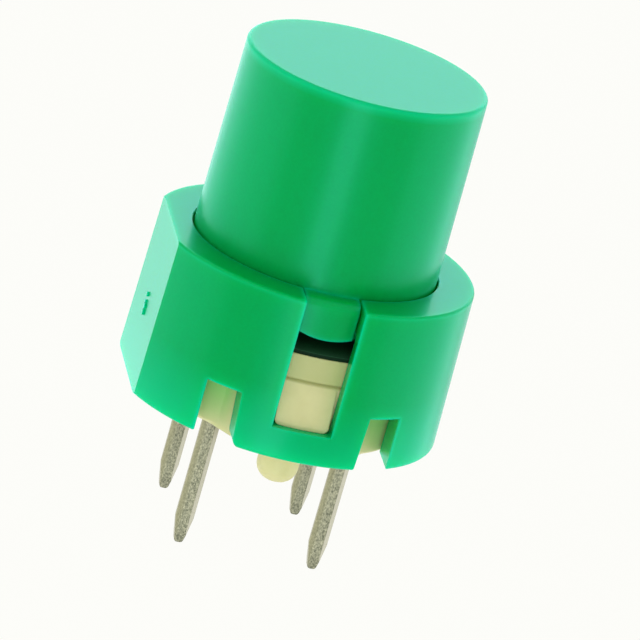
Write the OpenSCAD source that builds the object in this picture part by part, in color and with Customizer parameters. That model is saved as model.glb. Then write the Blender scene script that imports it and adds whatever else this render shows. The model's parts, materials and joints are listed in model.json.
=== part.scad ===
// Round tactile push button switch for a printed circuit board.
// The origin is the centre of the seating plane, where the body rests on the board.
// +Z is up, towards the button. The legs and the peg point down through the board.
// The latch windows face -Y and +Y, and the flat side of the body faces -X.
// All sizes are in millimetres.

/* [Housing] */
// Thickness of the body's wall at its foot
housing_wall = 1.2; // [1.1:0.05:1.5]
// Height of the body above the board
housing_h = 6.05; // [5.8:0.05:6.6]
// Thickness of the wall at the foot of the flat side
flat_wall = 0.65; // [0.6:0.01:0.9]
// Radius of the moulded edge round the top of the body
housing_edge_r = 0.1; // [0.05:0.05:0.3]
// Radius of the moulded edge round the foot of the body
foot_edge_r = 0.15; // [0.05:0.05:0.25]
// Width of the latch windows
window_w = 2.2; // [2:0.1:2.6]
// Height of the bridge below each latch window
bridge_h = 1.18; // [0.9:0.01:1.3]
// Distance from the middle plane to the centre of each foot notch
notch_x = 3; // [2.8:0.05:3.2]
// Width of the foot notches
notch_w = 1.2; // [0.9:0.05:1.4]
// Height of the foot notches
notch_h = 2.05; // [1.4:0.05:2.2]

/* [Button] */
// Diameter of the button where it leaves the body
button_d = 9.15; // [8.8:0.05:9.4]
// Height of the button above the body
button_rise = 7.23; // [4:0.01:9]
// Radius of the edge round the button's top face
button_edge_r = 0.15; // [0.05:0.05:0.6]
// Wall thickness of the button
button_wall = 0.8; // [0.6:0.05:1]
// Distance that the button moves when pressed
travel = 0.4; // [0.2:0.05:0.4]

/* [Base] */
// Height of the cream base inside the body
base_h = 3.83; // [3.6:0.01:3.9]
// Height of the floor that the contact dome sits on
floor_z = 1.8; // [1.7:0.05:1.9]
// Distance from the axis to the centre of the locating peg
peg_y = 3.7; // [3.5:0.05:3.9]
// Diameter of the locating peg
peg_d = 1.55; // [1.2:0.05:1.7]
// Length of the locating peg below the board face
peg_len = 1.65; // [1:0.05:2]

/* [Terminals] */
// Spacing of the legs, the same both ways
pin_pitch = 5.08; // [5:0.02:5.2]
// Width of a leg
pin_w = 0.68; // [0.5:0.02:0.8]
// Thickness of the strip that the terminals are stamped from
strip_t = 0.4; // [0.3:0.05:0.45]
// Length of the legs below the board face
pin_len = 5.2; // [3:0.05:6]

/* [Hidden] */

$fn = 96;
// How far a cutting tool reaches past the face that it cuts
cut_over = 1;

// Radii, worked out from the button outwards
bore_clearance = 0.06;
bore_r = button_d / 2 + bore_clearance;
lip_reach = 0.3;
cavity_r = bore_r + lip_reach;
base_clearance = 0.1;
base_r = cavity_r - base_clearance;
pad_proud = 0.52;
pad_r = base_r + pad_proud;
pad_clearance = 0.07;
recess_r = pad_r + pad_clearance;
housing_foot_r = cavity_r + housing_wall;
flat_reach = cavity_r + flat_wall;

// Housing
housing_draft = 0.12;
housing_top_r = housing_foot_r - housing_draft;
flat_draft = atan(housing_draft / housing_h);
bore_chamfer = 0.03;
notch_taper = 0.1;
notch_left_corner_r = 0.35;
notch_right_corner_r = 0.12;
notch_outer_corner_r = 0.12;
rib_w = 0.8;
rib_depth = 0.27;
rib_sink = 0.2;
// Torn stubs of the moulding gate on the flat side: place along Y, height and radius of each
gate_stubs = [[0.1, 2.98, 0.09], [0.03, 2.72, 0.07], [-0.04, 2.56, 0.1], [-0.02, 2.32, 0.12]];
gate_rise = 0.07;
gate_sink = 0.1;

// Base
base_edge = 0.12;
// The pads fill the windows. Their flanks are planes, at this angle to the X axis
pad_flank_a = 53;
pad_flank_in = 0.285;
crease_z = 2.85;
crease_w = 0.14;
crease_depth = 0.08;
latch_clearance = 0.1;
latch_half_w = window_w / 2 - latch_clearance;
latch_lip_h = 0.14;
latch_reach = 0.4;
latch_corner_r = 0.2;
peg_tip_flat_r = 0.15;
peg_tip_r = peg_d / 2 - peg_tip_flat_r;
leg_pocket_gap = 0.42;
leg_pocket_depth = 0.3;
leg_pocket_r = 0.3;

// Rubber boot
flange_t = 0.15;
flange_in = 0.05;
flange_top_z = base_h + flange_t;
bead_inset = 0.7;
bead_r = base_r - bead_inset;
bead_w = 0.25;
bead_depth = 0.25;
bead_slack = 0.05;
boot_wall = 0.25;
boot_skirt_gap = 0.24;
boot_shoulder_in = 0.3;
boot_shoulder_h = 0.4;
boot_shoulder_z = flange_top_z + boot_shoulder_h;
boot_crown_chamfer = 0.15;
nib_r = 0.7;
nib_chamfer = 0.1;

// Contact dome. Its rim rests on the bar of the right terminal, and the well of the base clears it
dome_rim_in = 0.045;
dome_r = pin_pitch / 2 + pin_w / 2 - dome_rim_in;
well_clearance = 0.2;
well_r = dome_r + well_clearance;
dome_t = 0.1;
dome_foot_w = 0.15;
dome_slack = 0.05;
dome_gap = travel + dome_slack;
dome_top_z = floor_z + dome_gap + dome_t;
dome_steps = 10;

// Button
skirt_gap = 0.05;
skirt_z = flange_top_z + travel + skirt_gap;
button_top_z = housing_h + button_rise;
button_draft = 0.0097;
button_foot_r = button_d / 2 + button_draft * (housing_h - skirt_z);
button_top_r = button_d / 2 - button_draft * button_rise;
button_roof_t = 0.9;
skirt_edge = 0.08;
stem_r = 1.3;
stem_lift = 1;
stem_z = skirt_z + stem_lift;
crown_z = stem_z;
stem_rib_t = 0.6;
stem_rib_h = 2.4;
key_clearance = 0.08;
key_half_w = window_w / 2 - key_clearance;
key_out_r = recess_r - key_clearance;
key_lift = 0.1;
key_z = skirt_z + key_lift;
key_arc_r = 3.1;
key_top_drop = 0.03;
key_top_z = housing_h - key_top_drop;
key_top_r = 0.35;
hook_half_w = 0.8;
hook_clearance = 0.08;
hook_out_r = cavity_r - hook_clearance;
hook_lift = 0.05;
hook_z = skirt_z + hook_lift;
hook_h = 0.42;
hook_slope = 0.2;

// The lip of the housing rests on the hooks, so its under side follows them
lip_z = hook_z + hook_h;

// Rubber boot radii that follow the button's skirt and stem
boot_foot_r = button_foot_r - button_wall - boot_skirt_gap;
boot_shoulder_r = boot_foot_r - boot_shoulder_in;
crown_rim = 0.2;
boot_crown_r = stem_r + crown_rim;

// Terminals
pin_x = pin_pitch / 2;
bend_in_r = 0.15;
leg_edge_w = 0.17;
leg_edge_t = 0.12;
tip_taper = 1;
tip_inset = 0.17;
tip_corner_r = 0.12;
tip_thin = 0.08;
tip_thin_l = 0.5;
centre_bar_drop = 0.3;
centre_pad_r = 0.8;
tongue_w = 0.9;

// Points along an arc, from angle a0 to angle a1
function arc(cx, cy, r, a0, a1, steps = 6) =
    [for (i = [0:steps]) let (a = a0 + (a1 - a0) * i / steps) [cx + r * cos(a), cy + r * sin(a)]];

// Stands a flat outline up in the XZ plane and runs it along Y, centred on Y
module along_y(length) {
    rotate([90, 0, 0])
        translate([0, 0, -length / 2])
            linear_extrude(length)
                children();
}

// Stands a flat outline up in the YZ plane and runs it along X, centred on X
module along_x(length) {
    rotate([90, 0, 90])
        translate([0, 0, -length / 2])
            linear_extrude(length)
                children();
}

// Draws its children at the front and, turned half round, at the back
module front_and_back() {
    for (turn = [0, 180])
        rotate([0, 0, turn])
            children();
}

// Outline of one foot notch, open at the foot, with rounded foot corners beside it
module notch_outline(inner_corner_r) {
    inner_x = notch_x - notch_w / 2;
    outer_x = notch_x + notch_w / 2;
    inner_arc_x = inner_x - notch_taper - inner_corner_r;
    outer_arc_x = outer_x + notch_outer_corner_r;
    polygon(concat(
        [[inner_arc_x, -cut_over]],
        arc(inner_arc_x, inner_corner_r, inner_corner_r, 270, 360),
        [[inner_x, notch_h], [outer_x, notch_h]],
        arc(outer_arc_x, notch_outer_corner_r, notch_outer_corner_r, 180, 270),
        [[outer_arc_x, -cut_over]]
    ));
}

// Plan of the part that a pad takes up at the front, from the axis out past its face, grown by a gap
module pad_sector(gap) {
    flank_d = base_r - pad_flank_in + gap;
    foot_x = flank_d * sin(pad_flank_a);
    foot_y = flank_d * cos(pad_flank_a);
    end_x = foot_x - pad_r * cos(pad_flank_a);
    end_y = foot_y + pad_r * sin(pad_flank_a);
    polygon([[0, 0], [-foot_x, -foot_y], [-end_x, -end_y], [end_x, -end_y], [foot_x, -foot_y]]);
}

// Drafted outer form of the body, with rounded edges, and the bore and cavity inside it
module housing_shell() {
    rotate_extrude()
        polygon(concat(
            [[cavity_r, 0]],
            arc(housing_foot_r - foot_edge_r, foot_edge_r, foot_edge_r, 270, 360),
            arc(housing_top_r - housing_edge_r, housing_h - housing_edge_r, housing_edge_r, 0, 90),
            [
                [bore_r + bore_chamfer, housing_h],
                [bore_r, housing_h - bore_chamfer],
                [bore_r, lip_z],
                [cavity_r, lip_z]
            ]
        ));
}

// Ribs that hold the rim of the boot down on the base
module stop_ribs() {
    for (turn = [45:90:315])
        rotate([0, 0, turn])
            translate([cavity_r - rib_depth, -rib_w / 2, flange_top_z])
                cube([rib_depth + rib_sink, rib_w, lip_z - flange_top_z + rib_sink]);
}

// Scar left by the moulding gate, on the flat side
module gate_scar() {
    translate([-flat_reach, 0, 0])
        rotate([0, flat_draft, 0])
            for (stub = gate_stubs)
                translate([gate_sink, stub[0], stub[1]])
                    rotate([0, -90, 0])
                        cylinder(h = gate_rise + gate_sink, r = stub[2]);
}

module housing() {
    color([0, 0.62, 0.32]) {
        difference() {
            housing_shell();
            // Flat side, leaning in by the moulding draft
            translate([-flat_reach, 0, 0])
                rotate([0, flat_draft, 0])
                    translate([-2 * housing_foot_r, -2 * housing_foot_r, -cut_over])
                        cube([2 * housing_foot_r, 4 * housing_foot_r, housing_h + 2 * cut_over]);
            // Recesses that take the pads of the base
            front_and_back()
                intersection() {
                    translate([0, 0, -cut_over])
                        cylinder(h = lip_z + cut_over, r = recess_r);
                    translate([0, 0, -cut_over])
                        linear_extrude(lip_z + cut_over)
                            pad_sector(pad_clearance);
                }
            // Latch windows, open at the top
            front_and_back()
                translate([-window_w / 2, -2 * housing_foot_r, bridge_h])
                    cube([window_w, 2 * housing_foot_r, housing_h]);
            // Foot notches, cut straight through front and back
            along_y(4 * housing_foot_r)
                notch_outline(notch_right_corner_r);
            mirror([1, 0, 0])
                along_y(4 * housing_foot_r)
                    notch_outline(notch_left_corner_r);
        }
        stop_ribs();
        gate_scar();
    }
}

// Front view of a guide key, with a bowed foot
module key_outline() {
    half_a = asin(key_half_w / key_arc_r);
    polygon(concat(
        arc(0, key_z + key_arc_r, key_arc_r, 270 - half_a, 270 + half_a, 10),
        [[key_half_w, key_top_z], [-key_half_w, key_top_z]]
    ));
}

// Guide keys that run in the windows and stop the button turning
module guide_keys() {
    root_r = button_foot_r - button_wall / 2;
    front_and_back()
        intersection() {
            rotate_extrude()
                polygon(concat(
                    [[root_r, key_z], [key_out_r, key_z]],
                    arc(key_out_r - key_top_r, key_top_z - key_top_r, key_top_r, 0, 90),
                    [[root_r, key_top_z]]
                ));
            translate([0, -button_d / 2, 0])
                along_y(button_d)
                    key_outline();
        }
}

// Hooks that catch under the lip of the housing and keep the button in
module skirt_hooks() {
    root_r = button_foot_r - button_wall / 2;
    for (turn = [0, 180])
        rotate([0, 0, turn])
            intersection() {
                rotate_extrude()
                    polygon([
                        [root_r, hook_z],
                        [hook_out_r - hook_slope, hook_z],
                        [hook_out_r, hook_z + hook_slope],
                        [hook_out_r, lip_z],
                        [root_r, lip_z]
                    ]);
                translate([0, -hook_half_w, 0])
                    cube([button_d, 2 * hook_half_w, housing_h]);
            }
}

module button_cap() {
    inner_foot_r = button_foot_r - button_wall;
    inner_top_r = button_top_r - button_wall;
    roof_z = button_top_z - button_roof_t;
    color([0, 0.66, 0.35]) {
        rotate_extrude()
            polygon(concat(
                [
                    [inner_foot_r, skirt_z],
                    [button_foot_r - skirt_edge, skirt_z],
                    [button_foot_r, skirt_z + skirt_edge]
                ],
                arc(button_top_r - button_edge_r, button_top_z - button_edge_r, button_edge_r, 0, 90),
                [
                    [0, button_top_z],
                    [0, roof_z],
                    [inner_top_r, roof_z]
                ]
            ));
        guide_keys();
        skirt_hooks();
        // Stem that presses on the crown of the boot, with four ribs to the wall
        translate([0, 0, stem_z])
            cylinder(h = roof_z - stem_z + button_roof_t / 2, r = stem_r);
        for (turn = [0, 90])
            rotate([0, 0, turn])
                translate([-inner_top_r - button_wall / 4, -stem_rib_t / 2, roof_z - stem_rib_h])
                    cube([2 * inner_top_r + button_wall / 2, stem_rib_t, stem_rib_h + button_roof_t / 2]);
    }
}

// Moulded in one piece: rim with a tab over each pad, folding wall, crown, and the nib that presses the dome
module rubber_boot() {
    color([0.05, 0.07, 0.06]) {
        rotate_extrude()
            polygon([
                [0, dome_top_z],
                [nib_r - nib_chamfer, dome_top_z],
                [nib_r, dome_top_z + nib_chamfer],
                [nib_r, crown_z - boot_wall],
                [boot_crown_r - boot_wall, crown_z - boot_wall],
                [boot_shoulder_r - boot_wall, boot_shoulder_z - boot_wall / 2],
                [boot_foot_r - boot_wall, base_h],
                [bead_r, base_h],
                [bead_r, base_h - bead_depth],
                [bead_r + bead_w, base_h - bead_depth],
                [bead_r + bead_w, base_h],
                [base_r - flange_in, base_h],
                [base_r - flange_in, flange_top_z],
                [boot_foot_r, flange_top_z],
                [boot_shoulder_r, boot_shoulder_z],
                [boot_crown_r, crown_z - boot_crown_chamfer],
                [boot_crown_r - boot_crown_chamfer, crown_z],
                [0, crown_z]
            ]);
        front_and_back()
            translate([0, 0, base_h])
                linear_extrude(flange_t)
                    difference() {
                        intersection() {
                            circle(pad_r - flange_in);
                            pad_sector(-flange_in);
                        }
                        circle(bead_r + bead_w);
                    }
    }
}

// Height of the dome's under side at a given radius
function dome_under_z(r) = floor_z + dome_gap * (1 - pow(r / (dome_r - dome_foot_w), 2));

// Sprung steel disc that snaps flat on the centre pad
module contact_dome() {
    inner_r = dome_r - dome_foot_w;
    color([0.78, 0.78, 0.76])
        rotate_extrude()
            polygon(concat(
                [for (i = [0:dome_steps]) let (r = inner_r * i / dome_steps) [r, dome_under_z(r)]],
                [[dome_r, floor_z], [dome_r, floor_z + dome_t]],
                [for (i = [dome_steps:-1:0]) let (r = inner_r * i / dome_steps) [r, dome_under_z(r) + dome_t]]
            ));
}

// Wedge latch that snaps over the bridge of the window
module latch() {
    wedge_top_z = crease_z - crease_w / 2;
    intersection() {
        rotate_extrude()
            polygon([
                [base_r, bridge_h],
                [pad_r + latch_reach, bridge_h],
                [pad_r + latch_reach, bridge_h + latch_lip_h],
                [pad_r, wedge_top_z],
                [base_r, wedge_top_z]
            ]);
        translate([0, -button_d / 2, 0])
            along_y(button_d)
                polygon(concat(
                    arc(-latch_half_w + latch_corner_r, bridge_h + latch_corner_r, latch_corner_r, 180, 270),
                    arc(latch_half_w - latch_corner_r, bridge_h + latch_corner_r, latch_corner_r, 270, 360),
                    [[latch_half_w, wedge_top_z], [-latch_half_w, wedge_top_z]]
                ));
    }
}

// Pad that fills the foot of a window, with the crease above the latch
module pad() {
    intersection() {
        rotate_extrude()
            polygon([
                [bead_r, 0],
                [pad_r - base_edge, 0],
                [pad_r, base_edge],
                [pad_r, crease_z - crease_w / 2],
                [pad_r - crease_depth, crease_z],
                [pad_r, crease_z + crease_w / 2],
                [pad_r, base_h],
                [bead_r + bead_w + bead_slack, base_h],
                [bead_r + bead_w + bead_slack, base_h - bead_depth - bead_slack],
                [bead_r, base_h - bead_depth - bead_slack]
            ]);
        linear_extrude(base_h)
            pad_sector(0);
    }
}

// Peg with a rounded tip that locates the switch in the board
module locating_peg() {
    peg_r = peg_d / 2;
    translate([0, -peg_y, 0])
        rotate_extrude()
            polygon(concat(
                [[0, -peg_len]],
                arc(peg_r - peg_tip_r, -peg_len + peg_tip_r, peg_tip_r, 270, 360),
                [[peg_r, leg_pocket_depth], [0, leg_pocket_depth]]
            ));
}

// Shallow pocket round each leg, so that solder doesn't lift the body
module leg_pockets() {
    half_w = pin_w / 2 + leg_pocket_gap - leg_pocket_r;
    half_l = strip_t / 2 + leg_pocket_gap - leg_pocket_r;
    for (x = [-pin_x, pin_x])
        for (y = [-pin_x, pin_x])
            translate([x, y, -cut_over])
                linear_extrude(leg_pocket_depth + cut_over)
                    polygon(concat(
                        arc(half_w, half_l, leg_pocket_r, 0, 90),
                        arc(-half_w, half_l, leg_pocket_r, 90, 180),
                        arc(-half_w, -half_l, leg_pocket_r, 180, 270),
                        arc(half_w, -half_l, leg_pocket_r, 270, 360)
                    ));
}

module base() {
    color([0.8, 0.78, 0.58])
        difference() {
            union() {
                rotate_extrude()
                    polygon([
                        [0, 0],
                        [base_r - base_edge, 0],
                        [base_r, base_edge],
                        [base_r, base_h - base_edge],
                        [base_r - base_edge, base_h],
                        [bead_r + bead_w + bead_slack, base_h],
                        [bead_r + bead_w + bead_slack, base_h - bead_depth - bead_slack],
                        [bead_r - bead_slack, base_h - bead_depth - bead_slack],
                        [bead_r - bead_slack, base_h],
                        [well_r, base_h],
                        [well_r, floor_z],
                        [0, floor_z]
                    ]);
                front_and_back() {
                    pad();
                    latch();
                }
                locating_peg();
            }
            leg_pockets();
            terminal_centre();
            terminal_rim();
        }
}

// Side view of a staple with two legs, bent from a strip whose top is at top_z
module staple_outline(top_z) {
    out_y = pin_x + strip_t / 2;
    in_y = pin_x - strip_t / 2;
    bend_out_r = bend_in_r + strip_t;
    under_z = top_z - strip_t;
    thin_z = tip_thin_l - pin_len;
    polygon(concat(
        [[-in_y, thin_z], [-in_y - tip_thin, -pin_len], [-out_y + tip_thin, -pin_len], [-out_y, thin_z]],
        arc(-out_y + bend_out_r, top_z - bend_out_r, bend_out_r, 180, 90),
        arc(out_y - bend_out_r, top_z - bend_out_r, bend_out_r, 90, 0),
        [[out_y, thin_z], [out_y - tip_thin, -pin_len], [in_y + tip_thin, -pin_len], [in_y, thin_z]],
        arc(in_y - bend_in_r, under_z - bend_in_r, bend_in_r, 0, 90),
        arc(-in_y + bend_in_r, under_z - bend_in_r, bend_in_r, 90, 180)
    ));
}

// Front view of a leg, drawn in to a blunt point at its tip
module leg_outline(top_z) {
    tip_x = pin_w / 2 - tip_inset - tip_corner_r;
    tip_z = tip_corner_r - pin_len;
    polygon(concat(
        [[-pin_w / 2, top_z], [-pin_w / 2, tip_taper - pin_len]],
        arc(-tip_x, tip_z, tip_corner_r, 190, 270),
        arc(tip_x, tip_z, tip_corner_r, 270, 350),
        [[pin_w / 2, tip_taper - pin_len], [pin_w / 2, top_z]]
    ));
}

// Plan of a leg, with its four long edges pressed down
module leg_section() {
    half_w = pin_w / 2;
    half_t = strip_t / 2;
    polygon([
        [-half_w + leg_edge_w, -half_t],
        [half_w - leg_edge_w, -half_t],
        [half_w, -half_t + leg_edge_t],
        [half_w, half_t - leg_edge_t],
        [half_w - leg_edge_w, half_t],
        [-half_w + leg_edge_w, half_t],
        [-half_w, half_t - leg_edge_t],
        [-half_w, -half_t + leg_edge_t]
    ]);
}

// Two legs joined by a bar. The edges are pressed down only below the board face
module staple(top_z) {
    intersection() {
        along_x(2 * pin_w)
            staple_outline(top_z);
        along_y(2 * pin_pitch)
            leg_outline(top_z);
        union() {
            for (y = [-pin_x, pin_x])
                translate([0, y, -pin_len])
                    linear_extrude(pin_len)
                        leg_section();
            translate([-pin_w, -pin_pitch, 0])
                cube([2 * pin_w, 2 * pin_pitch, top_z]);
        }
    }
}

// Left terminal: two legs and a tongue that ends in the centre pad under the dome
module terminal_centre() {
    bar_z = floor_z - centre_bar_drop;
    ramp_start_x = -pin_x + pin_w;
    ramp_end_x = ramp_start_x + 2 * centre_bar_drop;
    color([0.72, 0.71, 0.62]) {
        translate([-pin_x, 0, 0])
            staple(bar_z);
        along_y(tongue_w)
            polygon([
                [-pin_x, bar_z],
                [-pin_x, bar_z - strip_t],
                [ramp_start_x, bar_z - strip_t],
                [ramp_end_x, floor_z - strip_t],
                [0, floor_z - strip_t],
                [0, floor_z],
                [ramp_end_x, floor_z],
                [ramp_start_x, bar_z]
            ]);
        translate([0, 0, floor_z - strip_t])
            cylinder(h = strip_t, r = centre_pad_r);
    }
}

// Right terminal: two legs and a bar that carries the rim of the dome
module terminal_rim() {
    color([0.72, 0.71, 0.62])
        translate([pin_x, 0, 0])
            staple(floor_z);
}

housing();
button_cap();
rubber_boot();
contact_dome();
base();
terminal_centre();
terminal_rim();
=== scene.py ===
"""Looks for a round tactile push button switch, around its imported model. Lengths are in metres."""

import json
import math

import bpy
from mathutils import Matrix, Vector

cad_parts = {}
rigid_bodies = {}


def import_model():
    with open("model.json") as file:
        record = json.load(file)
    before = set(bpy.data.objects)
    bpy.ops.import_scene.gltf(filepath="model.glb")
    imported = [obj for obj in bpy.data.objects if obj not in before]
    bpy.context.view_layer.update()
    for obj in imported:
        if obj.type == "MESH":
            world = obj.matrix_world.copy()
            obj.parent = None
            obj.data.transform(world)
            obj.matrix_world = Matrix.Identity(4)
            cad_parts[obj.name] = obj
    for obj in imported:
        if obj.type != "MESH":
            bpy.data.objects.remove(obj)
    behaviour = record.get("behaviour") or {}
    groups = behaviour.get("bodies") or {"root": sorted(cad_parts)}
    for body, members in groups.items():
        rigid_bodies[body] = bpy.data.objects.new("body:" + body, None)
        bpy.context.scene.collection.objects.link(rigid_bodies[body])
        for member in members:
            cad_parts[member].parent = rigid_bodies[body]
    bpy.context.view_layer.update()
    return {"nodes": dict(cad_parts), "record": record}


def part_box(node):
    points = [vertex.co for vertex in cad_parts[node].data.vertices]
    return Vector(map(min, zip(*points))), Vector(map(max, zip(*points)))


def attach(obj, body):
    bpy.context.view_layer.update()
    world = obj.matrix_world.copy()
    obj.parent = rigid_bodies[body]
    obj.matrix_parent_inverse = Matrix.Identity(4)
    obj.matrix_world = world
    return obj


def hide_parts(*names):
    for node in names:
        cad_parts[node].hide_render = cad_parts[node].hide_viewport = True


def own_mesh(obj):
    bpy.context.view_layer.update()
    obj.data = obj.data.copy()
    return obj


MM = 0.001

# Camera: where it looks from, worked out from the legs and rims in the photograph
VIEW_AZIMUTH = 12.93
VIEW_ELEVATION = 18.85
VIEW_ROLL = 16.12
VIEW_DISTANCE = 235.5 * MM
VIEW_TARGET = Vector((0.662, -0.953, 3.732)) * MM
LENS_MM = 363.8
SENSOR_MM = 36.0
CLIP_START = 0.01
CLIP_END = 20.0

# Room. The photograph shows no surface below the part, so the floor lies well below its legs
FLOOR_SIZE = 3.0
FLOOR_DROP = 0.25
FLOOR_CLOTH = (0.9, 0.9, 0.88)
FLOOR_COLOUR = (1.0, 1.0, 0.965)
FLOOR_GLOW = 0.95
WORLD_COLOUR = (1.0, 1.0, 0.975)
WORLD_LEVEL = 0.6

# Soft lamps: azimuth and elevation in degrees, distance, width and height, and power in watts.
# Azimuth 0 is in front of the part, on its -Y side, and it grows towards -X
LAMPS = {
    "key": (25.0, 35.0, 0.5, (0.5, 0.5), 0.38),
    "front": (9.0, -19.0, 0.4, (0.15, 0.4), 0.5),
    "left": (VIEW_AZIMUTH + 93.0, -8.0, 0.35, (0.55, 0.35), 0.52),
    "left back": (VIEW_AZIMUTH + 155.0, -16.0, 0.35, (0.28, 0.35), 0.18),
    "right": (VIEW_AZIMUTH - 106.0, -8.0, 0.35, (0.56, 0.45), 0.58),
    "back": (VIEW_AZIMUTH + 180.0, 22.0, 0.5, (0.5, 0.25), 0.40),
}

# Finishes, as linear colours
GREEN = (0.0, 0.39, 0.057)
GREEN_DEEP = (0.0, 0.365, 0.05)
GREEN_PAINTED_HIGHLIGHT = (0.0, 0.55, 0.21)
GREEN_TINT = (0.0, 1.0, 1.0)
CREAM = (0.73, 0.71, 0.37)
CREAM_DARK = (0.66, 0.64, 0.31)
CREAM_PAINTED_SHADE = (0.48, 0.52, 0.21)
CREAM_PAINTED_CREASE_SHADE = (0.30, 0.33, 0.09)
CREAM_PAINTED_GREEN_LIGHT = (0.44, 0.80, 0.27)
BLACK_RUBBER = (0.006, 0.024, 0.012)
BLACK_RUBBER_WORN = (0.007, 0.027, 0.013)
BLACK_WALL_PAINTED_LIGHT = (0.030, 0.105, 0.055)
STEEL = (0.62, 0.61, 0.58)
STEEL_PALE = (0.72, 0.71, 0.68)
TIN = (0.37, 0.37, 0.26)
TIN_DARK = (0.12, 0.13, 0.09)
TIN_PAINTED_LIGHT_RIGHT = (0.40, 0.39, 0.31)
TIN_PAINTED_SHADE_LEFT = (0.26, 0.25, 0.16)
TIN_PAINTED_EDGE_REFLECTION = (0.38, 0.37, 0.22)

# Nearly all values of a noise texture lie between these. The streaks of the tin have more contrast
NOISE_LOW = 0.3
NOISE_HIGH = 0.7
STREAK_LOW = 0.34
STREAK_HIGH = 0.66

# How far the green's roughness varies to each side of its middle
ROUGH_SPREAD = 0.04

# How far the painted highlight of the green plastic reaches in from its edges, and the painted light
# from below up from its foot
PAINTED_EDGE_HIGHLIGHT_REACH = 0.4 * MM
PAINTED_FOOT_LIGHT_REACH = 2.6 * MM
PAINTED_FOOT_LIGHT = 0.75

# The painted edge highlight is full where the rounded normal turns this far from the true one, given
# as a cosine
EDGE_TURN = 0.72

# The rounded rim of the cap, which gets a painted highlight as the other green edges do. The painted
# highlight is full where the rim is nearer than RIM_FULL, and gone at RIM_IN inside the rim and
# RIM_DOWN below it
CAP_TOP_R = 4.5 * MM
CAP_TOP_Z = 13.28 * MM
RIM_PAINTED_HIGHLIGHT = 0.8
RIM_FULL = 0.06 * MM
RIM_IN = 0.22 * MM
RIM_DOWN = 0.4 * MM

# The cream base has painted shade: darkest in its crease, and a little darker above it than below.
# The painted shade above the crease comes in from UPPER_START to UPPER_END
CREASE_Z = 2.85 * MM
CREASE_SHADE_SHARE = 0.6
CREASE_CORE = 0.02 * MM
CREASE_REACH = 0.13 * MM
UPPER_SHADE_SHARE = 0.8
UPPER_START = CREASE_Z - 0.05 * MM
UPPER_END = CREASE_Z + 0.15 * MM

# The folding wall of the rubber boot starts here, above its flange. It is painted paler, as painted
# light against its shade
WALL_Z = 3.96 * MM
WALL_FADE = 0.02 * MM

# Green light from the shell is painted on the base where the foot notches show it. The painted light
# comes in outwards, across NOTCH_FADE up to NOTCH_SIDE, and upwards, from NOTCH_FOOT to NOTCH_TOP
NOTCH_SIDE = 2.6 * MM
NOTCH_FADE = 0.4 * MM
NOTCH_FOOT = 0.1 * MM
NOTCH_TOP = 1.5 * MM

# The legs stand LEG_X to each side of the middle. The painted reflection on their -X edge is full up
# to the smaller distance below from it, and gone at the larger
LEG_X = 2.54 * MM
LEG_HALF_W = 0.34 * MM
EDGE_REFLECTION_SHARE = 0.6
EDGE_REFLECTION_FULL = 0.06 * MM
EDGE_REFLECTION_END = 0.24 * MM

# X of the normals between which the painted light on the legs' right sides and the painted shade on
# their left sides come in
PAINTED_LIGHT_NORMAL_X = (0.2, 0.5)
PAINTED_SHADE_NORMAL_X = (-0.7, -0.9)

# Radii to which shading softens the edges
GREEN_SOFT_EDGE = 0.08 * MM
SOFT_EDGE = 0.05 * MM


def camera():
    """Makes the camera at the photograph's angle, rolled as the photograph is."""
    azimuth = math.radians(VIEW_AZIMUTH)
    elevation = math.radians(VIEW_ELEVATION)
    forward = Vector((
        math.sin(azimuth) * math.cos(elevation),
        math.cos(azimuth) * math.cos(elevation),
        -math.sin(elevation),
    ))
    data = bpy.data.cameras.new("camera")
    data.lens = LENS_MM
    data.sensor_width = SENSOR_MM
    data.clip_start = CLIP_START
    data.clip_end = CLIP_END
    view = bpy.data.objects.new("camera", data)
    level = forward.to_track_quat("-Z", "Y").to_matrix()
    roll = Matrix.Rotation(math.radians(VIEW_ROLL), 3, "Z")
    place = Matrix.Translation(VIEW_TARGET - forward * VIEW_DISTANCE)
    view.matrix_world = place @ (level @ roll).to_4x4()
    bpy.context.scene.collection.objects.link(view)
    bpy.context.scene.camera = view


def area_light(name, azimuth, elevation, distance, size, power):
    """Makes a soft rectangular lamp that faces the object from an azimuth and an elevation."""
    a = math.radians(azimuth)
    e = math.radians(elevation)
    outward = Vector((-math.sin(a) * math.cos(e), -math.cos(a) * math.cos(e), math.sin(e)))
    place = outward * distance
    data = bpy.data.lights.new(name, "AREA")
    data.shape = "RECTANGLE"
    data.size, data.size_y = size
    data.energy = power
    lamp = bpy.data.objects.new(name, data)
    lamp.visible_camera = False
    turn = (-place).to_track_quat("-Z", "Y").to_matrix().to_4x4()
    lamp.matrix_world = Matrix.Translation(place) @ turn
    bpy.context.scene.collection.objects.link(lamp)


class Nodes:
    """A short way to make and join the nodes of one tree."""

    def __init__(self, tree):
        self.tree = tree
        tree.nodes.clear()

    def add(self, kind, inputs=None, **settings):
        """Makes a node with its settings, and feeds its inputs."""
        node = self.tree.nodes.new(kind)
        for key, value in settings.items():
            setattr(node, key, value)
        self.feed(node, inputs or {})
        return node

    def feed(self, node, inputs):
        """Sets inputs, given by name or number, to plain values or joins other outputs to them."""
        for name, value in inputs.items():
            socket = node.inputs[name]
            if isinstance(value, bpy.types.NodeSocket):
                self.tree.links.new(value, socket)
            elif socket.type == "RGBA":
                socket.default_value = (*value, 1.0)
            else:
                socket.default_value = value


def calc(n, operation, *values):
    """Works out one step of arithmetic on numbers and other nodes' outputs."""
    return n.add("ShaderNodeMath", dict(enumerate(values)), operation=operation).outputs[0]


def spread(n, value, low, high, start=0.0, end=1.0):
    """Maps a value from one range to another, and holds it there outside the range."""
    inputs = {"Value": value, "From Min": low, "From Max": high, "To Min": start, "To Max": end}
    return n.add("ShaderNodeMapRange", inputs).outputs["Result"]


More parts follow.
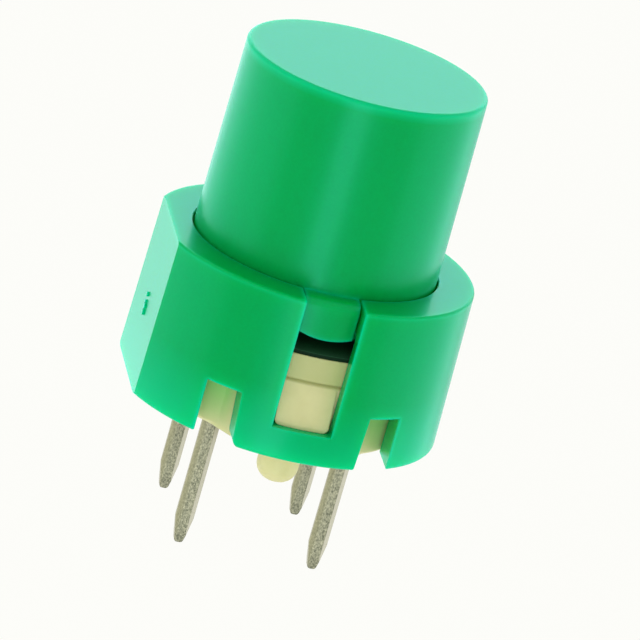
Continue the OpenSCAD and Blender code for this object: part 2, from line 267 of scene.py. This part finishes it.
def from_noise(n, value, start, end):
    """Spreads a noise texture's value between two numbers."""
    return spread(n, value, NOISE_LOW, NOISE_HIGH, start, end)


def blend(n, share, first, second):
    """Mixes a share of a second colour into a first one."""
    inputs = {"Factor": share, "A": first, "B": second}
    return n.add("ShaderNodeMix", inputs, data_type="RGBA").outputs["Result"]


def noise(n, coords, scale, detail=2.0, roughness=0.5):
    """A noise texture on the given coordinates, with its scale in features per metre."""
    inputs = {"Vector": coords, "Scale": scale, "Detail": detail, "Roughness": roughness}
    return n.add("ShaderNodeTexNoise", inputs).outputs["Fac"]


def axes(n, vector):
    """The X, Y and Z of a vector."""
    return n.add("ShaderNodeSeparateXYZ", {"Vector": vector}).outputs


def seen_directly(n):
    """One for what the camera sees straight or reflected, and zero for light on the object."""
    rays = n.add("ShaderNodeLightPath").outputs
    seen = calc(n, "MAXIMUM", rays["Is Camera Ray"], rays["Is Glossy Ray"])
    return calc(n, "MAXIMUM", seen, rays["Is Transmission Ray"])


def world():
    """Lights the object evenly, and is near white to the camera and in reflections."""
    studio = bpy.data.worlds.new("studio")
    bpy.context.scene.world = studio
    studio.use_nodes = True
    n = Nodes(studio.node_tree)
    level = spread(n, seen_directly(n), 0.0, 1.0, WORLD_LEVEL, 1.0)
    back = n.add("ShaderNodeBackground", {"Color": WORLD_COLOUR, "Strength": level})
    n.add("ShaderNodeOutputWorld", {"Surface": back.outputs[0]})


def floor():
    """Makes the plain pale floor below the legs, near white to the camera and in reflections."""
    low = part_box("terminal_rim")[0].z
    bpy.ops.mesh.primitive_plane_add(size=FLOOR_SIZE, location=(0.0, 0.0, low - FLOOR_DROP))
    plane = bpy.context.object
    plane.name = "floor"
    material = bpy.data.materials.new("floor")
    material.use_nodes = True
    n = Nodes(material.node_tree)
    cloth = n.add("ShaderNodeBsdfDiffuse", {"Color": FLOOR_CLOTH})
    glow = n.add("ShaderNodeEmission", {"Color": FLOOR_COLOUR})
    share = calc(n, "MULTIPLY", seen_directly(n), FLOOR_GLOW)
    mix = n.add("ShaderNodeMixShader", {0: share, 1: cloth.outputs[0], 2: glow.outputs[0]})
    n.add("ShaderNodeOutputMaterial", {"Surface": mix.outputs[0]})
    plane.data.materials.append(material)


def surface(name):
    """A new material with a Principled shader: the material, its nodes, shader and coordinates."""
    material = bpy.data.materials.new(name)
    material.use_nodes = True
    n = Nodes(material.node_tree)
    shader = n.add("ShaderNodeBsdfPrincipled")
    n.add("ShaderNodeOutputMaterial", {"Surface": shader.outputs[0]})
    coords = n.add("ShaderNodeTexCoord").outputs["Object"]
    return material, n, shader, coords


def near_edges(n, reach):
    """One on the edges of a piece, falling to zero at about the given distance from them."""
    rounded = n.add("ShaderNodeBevel", {"Radius": reach}, samples=8).outputs["Normal"]
    true = n.add("ShaderNodeNewGeometry").outputs["True Normal"]
    turn = n.add("ShaderNodeVectorMath", {0: rounded, 1: true}, operation="DOT_PRODUCT")
    return spread(n, turn.outputs["Value"], EDGE_TURN, 1.0, 1.0, 0.0)


def cap_rim_painted_highlight(n, x, y, z):
    """The share of painted highlight on the rim of the cap's top, full on the rim and falling to
    zero a little below it and inside it.
    """
    across = n.add("ShaderNodeCombineXYZ", {"X": x, "Y": y}).outputs[0]
    out = n.add("ShaderNodeVectorMath", {0: across}, operation="LENGTH").outputs["Value"]
    outer = spread(n, out, CAP_TOP_R - RIM_IN, CAP_TOP_R - RIM_FULL)
    upper = spread(n, z, CAP_TOP_Z - RIM_DOWN, CAP_TOP_Z - RIM_FULL, 0.0, RIM_PAINTED_HIGHLIGHT)
    return calc(n, "MULTIPLY", outer, upper)


def relief(n, shader, height, strength, depth=0.01 * MM, edge=0.0):
    """Adds a fine relief, over softened edges where edge gives their radius."""
    inputs = {"Strength": strength, "Distance": depth, "Height": height}
    if edge > 0.0:
        inputs["Normal"] = n.add("ShaderNodeBevel", {"Radius": edge}, samples=6).outputs["Normal"]
    n.feed(shader, {"Normal": n.add("ShaderNodeBump", inputs).outputs["Normal"]})


def green_plastic(name, grain_strength, rough, coat_rough, coat_ior):
    """Glossy moulded green plastic with a fine grain, with painted highlights on its edges and the
    cap's rim, and painted light from below at its foot.
    """
    material, n, shader, coords = surface(name)
    x, y, z = axes(n, coords)
    grain = noise(n, coords, scale=9000.0, roughness=0.6)
    # Painted light from below at the foot, and painted highlights on the edges and the cap's rim,
    # mixed into the base colour
    foot = spread(n, z, 0.0, PAINTED_FOOT_LIGHT_REACH, PAINTED_FOOT_LIGHT, 0.0)
    glow = calc(n, "MAXIMUM", near_edges(n, PAINTED_EDGE_HIGHLIGHT_REACH), foot)
    # Painted highlight on the cap's rim
    glow = calc(n, "MAXIMUM", glow, cap_rim_painted_highlight(n, x, y, z))
    tone = blend(n, from_noise(n, grain, 0.0, 1.0), GREEN_DEEP, GREEN)
    n.feed(shader, {
        "Base Color": blend(n, glow, tone, GREEN_PAINTED_HIGHLIGHT),
        "Roughness": from_noise(n, grain, rough - ROUGH_SPREAD, rough + ROUGH_SPREAD),
        "IOR": 1.5,
        "Coat Weight": 1.0,
        "Coat Roughness": coat_rough,
        "Coat IOR": coat_ior,
        "Coat Tint": GREEN_TINT,
        "Subsurface Weight": 0.75,
        "Subsurface Radius": (0.2, 1.0, 0.6),
        "Subsurface Scale": 1.8 * MM,
    })
    relief(n, shader, grain, grain_strength, edge=GREEN_SOFT_EDGE)
    return material


def cream_plastic():
    """Matt cream plastic with a faint speckle, painted shade in and above its crease, and painted
    green light in the notches.
    """
    material, n, shader, coords = surface("base_cream")
    x, y, z = axes(n, coords)
    cloud = noise(n, coords, scale=900.0, detail=4.0, roughness=0.6)
    tone = blend(n, from_noise(n, cloud, 0.0, 1.0), CREAM_DARK, CREAM)
    # Painted shade above the crease
    tone = blend(n, spread(n, z, UPPER_START, UPPER_END, 0.0, UPPER_SHADE_SHARE), tone, CREAM_PAINTED_SHADE)
    # Painted shade in the crease
    off_crease = calc(n, "ABSOLUTE", calc(n, "SUBTRACT", z, CREASE_Z))
    crease = spread(n, off_crease, CREASE_CORE, CREASE_REACH, CREASE_SHADE_SHARE, 0.0)
    tone = blend(n, crease, tone, CREAM_PAINTED_CREASE_SHADE)
    # Painted green light from the shell, in the notches
    beside = spread(n, calc(n, "ABSOLUTE", x), NOTCH_SIDE - NOTCH_FADE, NOTCH_SIDE)
    up = spread(n, z, NOTCH_FOOT, NOTCH_TOP)
    tone = blend(n, calc(n, "MULTIPLY", beside, up), tone, CREAM_PAINTED_GREEN_LIGHT)
    fine = noise(n, coords, scale=7000.0)
    n.feed(shader, {
        "Base Color": tone,
        "Roughness": from_noise(n, fine, 0.42, 0.58),
        "IOR": 1.5,
        "Subsurface Weight": 0.25,
        "Subsurface Radius": (1.0, 0.9, 0.5),
        "Subsurface Scale": 0.5 * MM,
    })
    relief(n, shader, fine, strength=0.25, edge=SOFT_EDGE)
    return material


def black_rubber():
    """Smooth black silicone rubber, its folding wall painted paler than its flange as painted light
    against the shade it sits in.
    """
    material, n, shader, coords = surface("boot_black")
    z = axes(n, coords)["Z"]
    fine = noise(n, coords, scale=5000.0, detail=3.0)
    tone = blend(n, from_noise(n, fine, 0.0, 1.0), BLACK_RUBBER, BLACK_RUBBER_WORN)
    # Painted light on the folding wall, which sits in deep shade
    wall = spread(n, z, WALL_Z, WALL_Z + WALL_FADE)
    n.feed(shader, {
        "Base Color": blend(n, wall, tone, BLACK_WALL_PAINTED_LIGHT),
        "Roughness": from_noise(n, fine, 0.5, 0.62),
        "IOR": 1.12,
    })
    relief(n, shader, fine, strength=0.2)
    return material


def dome_steel():
    """Rolled stainless steel strip."""
    material, n, shader, coords = surface("dome_steel")
    fine = noise(n, coords, scale=6000.0, detail=3.0)
    n.feed(shader, {
        "Metallic": 1.0,
        "Base Color": blend(n, from_noise(n, fine, 0.0, 1.0), STEEL, STEEL_PALE),
        "Roughness": from_noise(n, fine, 0.25, 0.4),
    })
    relief(n, shader, fine, strength=0.2, depth=0.005 * MM)
    return material


def leg_edge_painted_reflection(n, x):
    """The share of painted reflection along the -X edge of each leg, falling to zero across it."""
    row_x = calc(n, "MULTIPLY", calc(n, "SIGN", x), LEG_X)
    across = calc(n, "SUBTRACT", x, row_x)
    return spread(n, across, EDGE_REFLECTION_FULL - LEG_HALF_W, EDGE_REFLECTION_END - LEG_HALF_W, EDGE_REFLECTION_SHARE, 0.0)


def dull_tin():
    """Dull tin plating with a fine dark grain, a painted reflection along each leg's -X edge, and
    painted light on the sides facing +X and painted shade on those facing -X.
    """
    material, n, shader, coords = surface("terminal_tin")
    stretch = n.add("ShaderNodeMapping", {"Vector": coords, "Scale": (1.0, 1.0, 0.6)})
    streaks = noise(n, stretch.outputs["Vector"], scale=18000.0, detail=3.0, roughness=0.6)
    tone = blend(n, spread(n, streaks, STREAK_LOW, STREAK_HIGH), TIN_DARK, TIN)
    # Painted reflection along the -X edge of each leg
    tone = blend(n, leg_edge_painted_reflection(n, axes(n, coords)["X"]), tone, TIN_PAINTED_EDGE_REFLECTION)
    facing = axes(n, n.add("ShaderNodeTexCoord").outputs["Normal"])["X"]
    # Painted light on the sides that face +X, painted shade on those that face -X
    tone = blend(n, spread(n, facing, *PAINTED_LIGHT_NORMAL_X), tone, TIN_PAINTED_LIGHT_RIGHT)
    tone = blend(n, spread(n, facing, *PAINTED_SHADE_NORMAL_X), tone, TIN_PAINTED_SHADE_LEFT)
    grains = noise(n, coords, scale=16000.0, detail=4.0, roughness=0.7)
    n.feed(shader, {
        "Metallic": 1.0,
        "Base Color": tone,
        "Roughness": from_noise(n, grains, 0.28, 0.5),
    })
    relief(n, shader, grains, strength=0.5, depth=0.02 * MM, edge=SOFT_EDGE)
    return material


def dress(frame):
    """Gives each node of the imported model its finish."""
    tin = dull_tin()
    finishes = {
        "housing": green_plastic("housing_green", grain_strength=0.12, rough=0.34,
                                 coat_rough=0.2, coat_ior=1.13),
        "button_cap": green_plastic("button_green", grain_strength=0.08, rough=0.33,
                                    coat_rough=0.26, coat_ior=1.15),
        "rubber_boot": black_rubber(),
        "contact_dome": dome_steel(),
        "base": cream_plastic(),
        "terminal_centre": tin,
        "terminal_rim": tin,
    }
    for name, material in finishes.items():
        mesh = frame["nodes"][name].data
        mesh.materials.clear()
        mesh.materials.append(material)


def soften(frame):
    """Replaces the boot and the dome by copies with their own meshes, carried by the body they sit
    on.
    """
    record = frame["record"]
    for joint in record["behaviour"]["joints"]:
        for soft in joint["deforming_nodes"]:
            node = soft["node"]
            rigid = frame["nodes"][node]
            piece = rigid.copy()
            piece.data = rigid.data.copy()
            piece.name = "soft_" + node
            bpy.context.scene.collection.objects.link(piece)
            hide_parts(node)
            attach(piece, joint["parent"])
            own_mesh(piece)


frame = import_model()
bpy.context.scene.view_settings.view_transform = "Standard"
camera()
world()
floor()
for name, lamp in LAMPS.items():
    area_light(name, *lamp)
dress(frame)
soften(frame)
